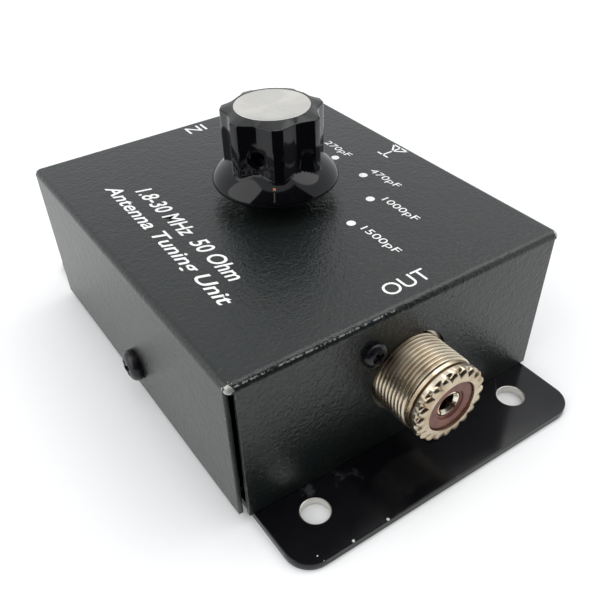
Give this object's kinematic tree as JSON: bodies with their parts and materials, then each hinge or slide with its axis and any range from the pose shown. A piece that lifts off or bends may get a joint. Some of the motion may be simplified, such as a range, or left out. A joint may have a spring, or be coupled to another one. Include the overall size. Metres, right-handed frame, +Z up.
{
  "type": "antenna tuner",
  "caption": "Small black metal antenna tuner box with a fluted selector knob on top, a coax socket on each end wall and a base plate with drilled mounting lips.",
  "frame": {"origin": "centre of the underside of the base plate, on the surface it stands on", "axes": "+Z up; -Y out of the wall with the OUT socket; +Y out of the wall with the IN socket; X across the end walls"},
  "size_m": [0.0772, 0.1154, 0.0526],
  "materials": {
    "cover_paint": "fine textured semi-gloss charcoal paint, bare metal showing on the worn corners",
    "base_paint": "smooth gloss black paint, scuffed along the edges",
    "black_screw": "black oxide pan-head screw",
    "knob_plastic": "moulded gloss black plastic with a worn pointer mark",
    "spun_aluminium": "spun finish with radial glints",
    "nickel": "nickel plating with warm brown reflections",
    "phenolic": "maroon-brown moulded phenolic",
    "contact_brass": "silver and gold flashed contact",
    "brass": "turned brass",
    "zinc": "bright zinc plating",
    "steel": "plain pressed steel",
    "wafer_board": "punched phenolic board",
    "tinned": "tinned copper",
    "capacitor_dip": "dipped resin coat"
  },
  "bodies": {
    "case": {"cover": "cover_paint", "base_plate": "base_paint", "side_screw_left": "black_screw", "side_screw_right": "black_screw", "out_socket_shell": "nickel", "out_socket_insulator": "phenolic", "out_socket_contact": "contact_brass", "out_socket_screw_upper": "black_screw", "out_socket_nut_upper": "zinc", "out_socket_screw_lower": "black_screw", "out_socket_nut_lower": "zinc", "in_socket_shell": "nickel", "in_socket_insulator": "phenolic", "in_socket_contact": "contact_brass", "in_socket_screw_upper": "black_screw", "in_socket_nut_upper": "zinc", "in_socket_screw_lower": "black_screw", "in_socket_nut_lower": "zinc", "switch_housing": "zinc", "switch_nut": "black_screw", "switch_washer": "black_screw", "switch_wafer": "wafer_board", "switch_lug_01": "tinned", "switch_lug_02": "tinned", "switch_lug_03": "tinned", "switch_lug_04": "tinned", "switch_lug_05": "tinned", "switch_lug_06": "tinned", "switch_lug_07": "tinned", "switch_lug_08": "tinned", "switch_lug_09": "tinned", "switch_lug_10": "tinned", "switch_lug_11": "tinned", "switch_lug_12": "tinned", "switch_common_lug": "tinned", "switch_spacer_right": "brass", "switch_screw_right": "zinc", "switch_spacer_left": "brass", "switch_screw_left": "zinc", "capacitor_120pf": "capacitor_dip", "capacitor_180pf": "capacitor_dip", "capacitor_270pf": "capacitor_dip", "capacitor_470pf": "capacitor_dip", "capacitor_1000pf": "capacitor_dip", "capacitor_1500pf": "capacitor_dip", "ground_bus": "tinned", "ground_lug": "tinned", "through_wire": "tinned", "link_wire": "tinned"},
    "selector": {"knob_body": "knob_plastic", "knob_inlay": "spun_aluminium", "knob_insert": "brass", "knob_set_screw": "black_screw", "switch_shaft": "brass", "switch_detent_wheel": "steel", "switch_rotor": "wafer_board", "switch_wiper": "contact_brass"}
  },
  "joints": [
    {"name": "selector_turn", "type": "hinge", "parent": "case", "child": "selector", "pos_m": [0.0013, 0.0016, 0.0341], "axis": [0, 0, 1], "range_deg": [-30, 300]}
  ]
}
